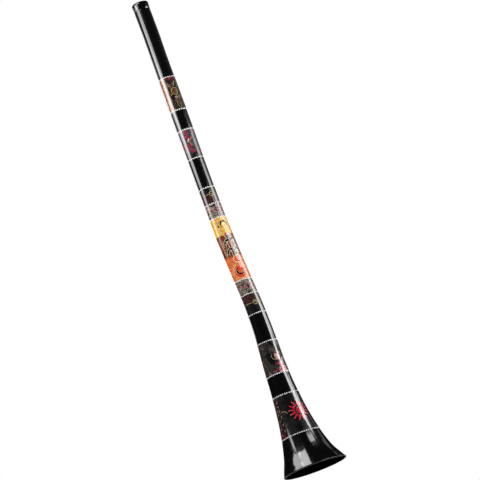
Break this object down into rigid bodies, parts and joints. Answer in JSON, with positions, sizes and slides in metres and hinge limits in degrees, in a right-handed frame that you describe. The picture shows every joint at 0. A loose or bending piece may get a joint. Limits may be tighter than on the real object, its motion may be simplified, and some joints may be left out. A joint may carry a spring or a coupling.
{
  "type": "didgeridoo",
  "caption": "Long, gently wavy hollow tube with a rounded mouthpiece ring, a wide flared bell, printed sleeves and strings of painted dots.",
  "frame": {"origin": "centre of the bell's mouth, at the level that its rim rests on", "axes": "+Z along the instrument from the bell to the mouthpiece; -Y faces the decorated side, with the round emblem turned towards +X"},
  "size_m": [0.1885, 0.1885, 1.45],
  "materials": {
    "black_lacquer": "high-gloss black gel coat on fibreglass",
    "white_paint": "raised dots of white paint, gloss",
    "red_paint": "red print under clear coat",
    "wrap_curls": "gloss clear coat over a dark brown print with gold curls",
    "wrap_crimson": "gloss clear coat over a grey and crimson print",
    "wrap_upper_slate": "gloss clear coat over slate and maroon print with a gold line",
    "wrap_upper_maze": "gloss clear coat over a fine beige and olive print with a crimson line",
    "wrap_centre": "gloss clear coat over a yellow, earth and orange print",
    "wrap_lower_maze": "gloss clear coat over a fine beige and olive print with a crimson line",
    "wrap_lower_slate": "gloss clear coat over maroon and slate print with a gold line",
    "wrap_mottled": "gloss clear coat over a dark mottled print",
    "wrap_bell": "gloss clear coat over a near-black mottled print"
  },
  "bodies": {
    "root": {"mouthpiece": "black_lacquer", "upper_tube": "black_lacquer", "lower_tube": "black_lacquer", "bell": "black_lacquer", "wrap_curls": "wrap_curls", "wrap_crimson": "wrap_crimson", "wrap_upper_slate": "wrap_upper_slate", "wrap_upper_maze": "wrap_upper_maze", "wrap_centre": "wrap_centre", "wrap_lower_maze": "wrap_lower_maze", "wrap_lower_slate": "wrap_lower_slate", "wrap_mottled": "wrap_mottled", "wrap_bell": "wrap_bell", "dot_ring_01": "white_paint", "dot_ring_02": "white_paint", "dot_ring_03": "white_paint", "dot_ring_04": "white_paint", "dot_ring_05": "white_paint", "dot_ring_06": "white_paint", "dot_ring_07": "white_paint", "dot_ring_08": "white_paint", "dot_ring_09": "white_paint", "dot_ring_10": "white_paint", "dot_ring_11": "white_paint", "dot_ring_12": "white_paint", "dot_ring_13": "white_paint", "dot_ring_14": "white_paint", "bell_emblem": "red_paint"}
  },
  "joints": []
}
